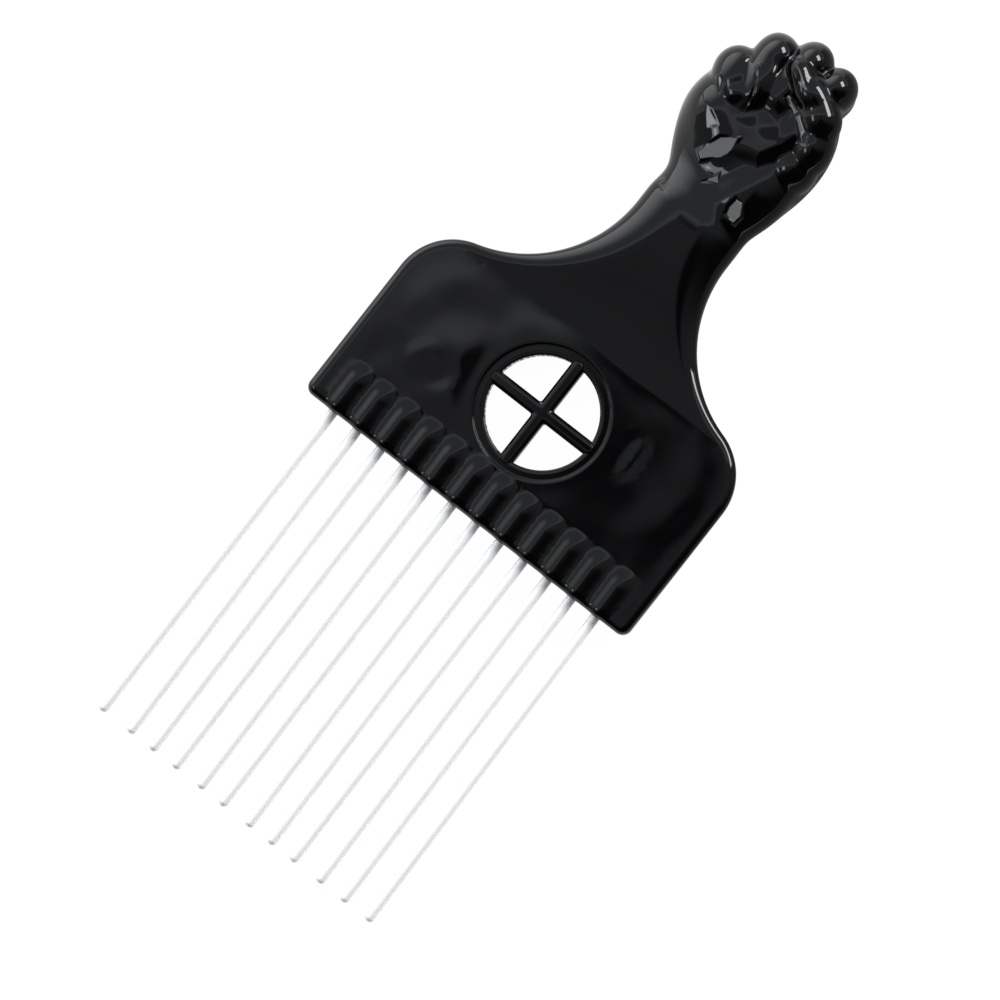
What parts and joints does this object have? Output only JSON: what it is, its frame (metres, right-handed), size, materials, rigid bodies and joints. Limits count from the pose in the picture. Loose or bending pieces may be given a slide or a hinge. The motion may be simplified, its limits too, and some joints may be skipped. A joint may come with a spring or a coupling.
{
  "type": "fork comb",
  "caption": "Hair comb with a row of straight round wire tines in a flat moulded plate, with a cross-barred ring and a neck that ends in a clenched fist.",
  "frame": {"origin": "middle of the plate's lower end face, where the tines come out, at half the plate's thickness", "axes": "+X across the comb to the right as seen from the palm side, +Y along the comb from the tines to the fist, +Z out of the front, the palm side of the fist"},
  "size_m": [0.0712, 0.1693, 0.0197],
  "materials": {
    "handle_plastic": "glossy black moulding with faint sink marks",
    "tine_steel": "bright plated steel wire"
  },
  "bodies": {
    "root": {"handle": "handle_plastic", "tine_01": "tine_steel", "tine_02": "tine_steel", "tine_03": "tine_steel", "tine_04": "tine_steel", "tine_05": "tine_steel", "tine_06": "tine_steel", "tine_07": "tine_steel", "tine_08": "tine_steel", "tine_09": "tine_steel", "tine_10": "tine_steel", "tine_11": "tine_steel", "tine_12": "tine_steel"}
  },
  "joints": []
}
